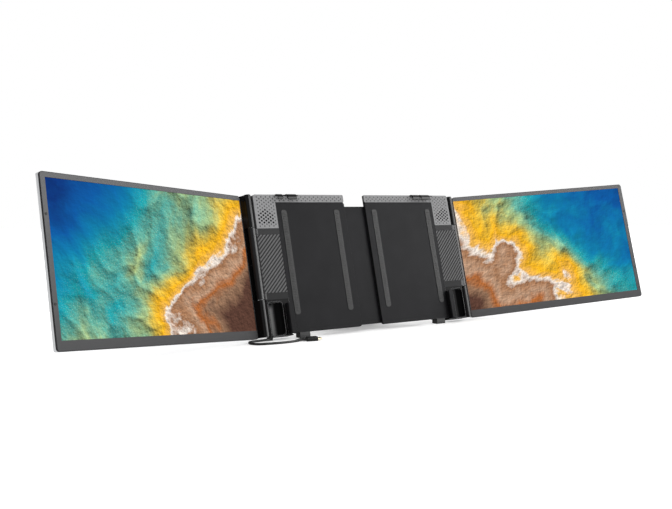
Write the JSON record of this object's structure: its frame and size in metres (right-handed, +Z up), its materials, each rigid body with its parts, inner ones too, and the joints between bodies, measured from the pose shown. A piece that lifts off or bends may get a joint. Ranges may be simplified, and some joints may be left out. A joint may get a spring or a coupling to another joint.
{
  "type": "laptop screen extender",
  "caption": "Twin side screens on three-knuckle hinges, carried by a telescopic frame with jaws, claws and a kickstand, that hooks on behind a portable computer's lid.",
  "frame": {"origin": "on the table, on the mid-line, under the frame's front lower edge", "axes": "+X to the viewer's right along the frame, +Y to the rear, +Z up"},
  "size_m": [1.1072, 0.1898, 0.2382],
  "materials": {
    "black_alloy": "die-cast alloy with a fine black coat",
    "black_moulding": "satin black moulding",
    "grey_pad": "grey moulding with slanted ribs",
    "grey_panel": "pressed grey panel with a field of dimples and sound holes",
    "speaker_black": "black speaker box",
    "board_green": "solder-masked board with its parts",
    "bright_steel": "turned and ground steel",
    "soft_rubber": "matt black rubber",
    "glossy_black": "glossy black moulding",
    "bezel_grey": "satin dark grey bezel",
    "picture": null,
    "silver_alloy": "bead-blasted silver alloy",
    "key_black": "satin black key",
    "painted_steel": "dark grey powder-coated steel sheet",
    "cable_black": "smooth black sheath",
    "plug_black": "black moulded grip",
    "plug_metal": "drawn and plated shell"
  },
  "bodies": {
    "bridge": {"bridge_front": "black_alloy", "bridge_rear": "black_alloy", "kickstand_pin": "bright_steel"},
    "left_frame": {"left_frame_shell": "black_alloy", "left_front_trim": "black_moulding", "left_rib_pad": "grey_pad", "left_grille_panel": "grey_panel", "left_speaker": "speaker_black", "left_control_board": "board_green", "left_rear_cover": "black_moulding", "left_cover_screws": "bright_steel", "left_lid_pads": "soft_rubber", "left_hinge_pins": "bright_steel", "left_claw_pin": "bright_steel", "left_foot": "soft_rubber", "left_slide_bars": "bright_steel", "cable_gland": "cable_black", "cable": "cable_black", "plug_body": "plug_black", "plug_shell": "plug_metal"},
    "right_frame": {"right_frame_shell": "black_alloy", "right_front_trim": "black_moulding", "right_rib_pad": "grey_pad", "right_grille_panel": "grey_panel", "right_speaker": "speaker_black", "right_control_board": "board_green", "right_rear_cover": "black_moulding", "right_cover_screws": "bright_steel", "right_lid_pads": "soft_rubber", "right_hinge_pins": "bright_steel", "right_claw_pin": "bright_steel", "right_foot": "soft_rubber", "right_slide_bars": "bright_steel"},
    "left_screen": {"left_bezel": "bezel_grey", "left_lcd_panel": "picture", "left_back_cover": "silver_alloy", "left_driver_board": "board_green", "left_upper_knuckle": "glossy_black", "left_lower_knuckle": "glossy_black", "left_bumpers": "soft_rubber"},
    "right_screen": {"right_bezel": "bezel_grey", "right_lcd_panel": "picture", "right_back_cover": "silver_alloy", "right_driver_board": "board_green", "right_upper_knuckle": "glossy_black", "right_lower_knuckle": "glossy_black", "right_bumpers": "soft_rubber"},
    "kickstand": {"kickstand": "painted_steel", "kickstand_foot": "soft_rubber"},
    "left_jaw": {"left_jaw": "glossy_black"},
    "left_claw": {"left_claw": "glossy_black"},
    "left_power_key": {"left_power_key": "key_black"},
    "left_menu_key": {"left_menu_key": "key_black"},
    "right_jaw": {"right_jaw": "glossy_black"},
    "right_claw": {"right_claw": "glossy_black"},
    "right_power_key": {"right_power_key": "key_black"},
    "right_menu_key": {"right_menu_key": "key_black"}
  },
  "joints": [
    {"name": "left_slide", "type": "slide", "parent": "bridge", "child": "left_frame", "axis": [-1, 0, 0], "range_m": [-0.018, 0.025]},
    {"name": "right_slide", "type": "slide", "parent": "bridge", "child": "right_frame", "axis": [1, 0, 0], "range_m": [-0.018, 0.025]},
    {"name": "left_fold", "type": "hinge", "parent": "left_frame", "child": "left_screen", "pos_m": [-0.207, 0.02489, 0.10987], "axis": [0, -0.2453, -0.9694], "range_deg": [-161.2, 18.8]},
    {"name": "right_fold", "type": "hinge", "parent": "right_frame", "child": "right_screen", "pos_m": [0.2046, 0.03129, 0.10826], "axis": [0, -0.2453, -0.9694], "range_deg": [-17.3, 151.2]},
    {"name": "left_jaw_push", "type": "slide", "parent": "left_frame", "child": "left_jaw", "axis": [0, 0.9694, -0.2453], "range_m": [0, 0.0092]},
    {"name": "left_claw_flip", "type": "hinge", "parent": "left_frame", "child": "left_claw", "pos_m": [-0.14, 0.05889, 0.20917], "axis": [-1, 0, 0], "range_deg": [0, 180]},
    {"name": "left_power_press", "type": "slide", "parent": "left_screen", "child": "left_power_key", "axis": [0, -0.2453, -0.9694], "range_m": [0, 0.0006], "stiffness_N_per_m": 900, "springref_m": -0.0004},
    {"name": "left_menu_press", "type": "slide", "parent": "left_screen", "child": "left_menu_key", "axis": [0, -0.2453, -0.9694], "range_m": [0, 0.0006], "stiffness_N_per_m": 900, "springref_m": -0.0004},
    {"name": "right_jaw_push", "type": "slide", "parent": "right_frame", "child": "right_jaw", "axis": [0, 0.9694, -0.2453], "range_m": [0, 0.0092]},
    {"name": "right_claw_flip", "type": "hinge", "parent": "right_frame", "child": "right_claw", "pos_m": [0.14, 0.05889, 0.20917], "axis": [-1, 0, 0], "range_deg": [0, 180]},
    {"name": "right_power_press", "type": "slide", "parent": "right_screen", "child": "right_power_key", "axis": [0, -0.2453, -0.9694], "range_m": [0, 0.0006], "stiffness_N_per_m": 900, "springref_m": -0.0004},
    {"name": "right_menu_press", "type": "slide", "parent": "right_screen", "child": "right_menu_key", "axis": [0, -0.2453, -0.9694], "range_m": [0, 0.0006], "stiffness_N_per_m": 900, "springref_m": -0.0004},
    {"name": "kickstand_swing", "type": "hinge", "parent": "bridge", "child": "kickstand", "pos_m": [0, 0.05782, 0.17478], "axis": [1, 0, 0], "range_deg": [-22.6, 0]}
  ]
}
